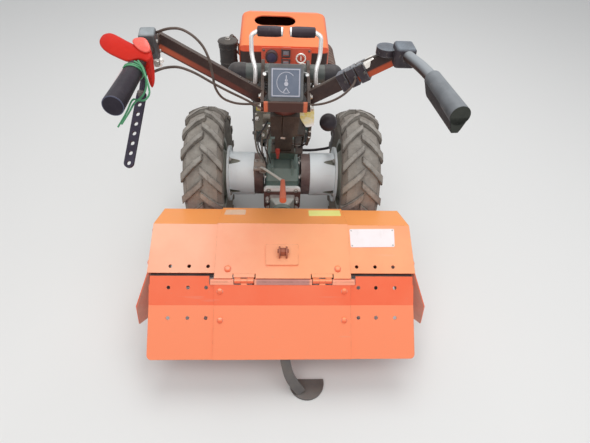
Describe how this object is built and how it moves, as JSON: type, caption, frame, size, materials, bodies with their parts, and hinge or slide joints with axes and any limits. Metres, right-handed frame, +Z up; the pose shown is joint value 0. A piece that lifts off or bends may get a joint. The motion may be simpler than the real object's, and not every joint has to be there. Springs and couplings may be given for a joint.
{
  "type": "walking tractor with rear rotary tiller",
  "caption": "Walking tractor with engine in front, lugged tyres on spacer drums, raised handlebars and a hooded rotary tiller with a hinged rear flap.",
  "frame": {"origin": "on the ground, at the middle of the machine's length and width", "axes": "+Y forward towards the engine, +X to the operator's right, +Z up"},
  "size_m": [0.9034, 1.411, 0.9754],
  "materials": {
    "bare_steel": "worn",
    "black_paint": "satin",
    "black_plastic": "matte",
    "black_rubber": "matte",
    "chrome_rod": "polished",
    "dark_green_paint": "satin",
    "dark_steel": "rusty",
    "engine_casting": "cast",
    "green_casting": "dusty paint",
    "grey_green_casting": "dusty paint",
    "grey_green_paint": "dusty",
    "grey_paint": "satin",
    "orange_paint": "satin, worn",
    "orange_plastic": "satin",
    "red_panel": "satin",
    "red_plastic": "satin",
    "tyre_rubber": "dusty",
    "white_paint": "satin, worn"
  },
  "bodies": {
    "tractor_frame": {"gearbox_housing": "green_casting", "engine_block": "engine_casting", "engine_cylinder": "engine_casting", "fan_housing": "black_plastic", "engine_hood": "orange_plastic", "fuel_tank": "black_plastic", "hood_brackets": "black_paint", "control_panel": "red_panel", "air_filter": "black_plastic", "muffler": "dark_steel", "front_bumper": "black_paint", "pto_coupling": "grey_green_casting", "tiller_gear_case": "green_casting", "tiller_hood": "orange_paint", "hood_extensions": "orange_paint", "side_shields": "orange_paint", "flap_hinges": "orange_paint", "skid_bracket": "orange_paint", "depth_skid": "bare_steel", "steering_column": "black_paint", "pto_lever": "white_paint", "gear_lever": "black_paint"},
    "wheel_left": {"tyre_left": "tyre_rubber", "rim_left": "grey_green_paint", "drum_left": "grey_paint", "hub_left": "dark_steel"},
    "wheel_right": {"tyre_right": "tyre_rubber", "rim_right": "grey_green_paint", "drum_right": "grey_paint", "hub_right": "dark_steel"},
    "rotor": {"rotor_shaft": "dark_steel", "rotor_tines": "bare_steel"},
    "flap": {"rear_flap": "orange_paint"},
    "steering_head": {"swivel_head": "dark_green_paint", "cross_tube_caps": "black_rubber", "console": "black_plastic", "hand_levers": "chrome_rod"},
    "handlebar": {"handlebar_brace": "orange_paint", "handle_arm_left": "black_paint", "handle_arm_right": "black_paint", "grip_left": "black_rubber", "grip_right": "black_rubber", "control_box": "black_plastic", "stop_lever": "red_plastic", "clutch_lever": "black_plastic", "throttle_bracket": "black_paint", "control_cables": "black_rubber"}
  },
  "joints": [
    {"name": "left_wheel", "type": "hinge", "parent": "tractor_frame", "child": "wheel_left", "pos_m": [-0.278, 0.0955, 0.252], "axis": [1, 0, 0], "continuous": true},
    {"name": "right_wheel", "type": "hinge", "parent": "tractor_frame", "child": "wheel_right", "pos_m": [0.278, 0.0955, 0.252], "axis": [1, 0, 0], "continuous": true},
    {"name": "rotor_turn", "type": "hinge", "parent": "tractor_frame", "child": "rotor", "pos_m": [0, -0.3215, 0.168], "axis": [1, 0, 0], "continuous": true},
    {"name": "flap_hinge", "type": "hinge", "parent": "tractor_frame", "child": "flap", "pos_m": [0, -0.4705, 0.291], "axis": [-1, 0, 0], "range_deg": [0, 75]},
    {"name": "handlebar_swing", "type": "hinge", "parent": "tractor_frame", "child": "steering_head", "pos_m": [0, -0.1945, 0.715], "axis": [0, 0, 1], "range_deg": [-30, 30]},
    {"name": "handlebar_height", "type": "hinge", "parent": "steering_head", "child": "handlebar", "pos_m": [0, -0.1375, 0.776], "axis": [1, 0, 0], "range_deg": [-12, 12]}
  ]
}
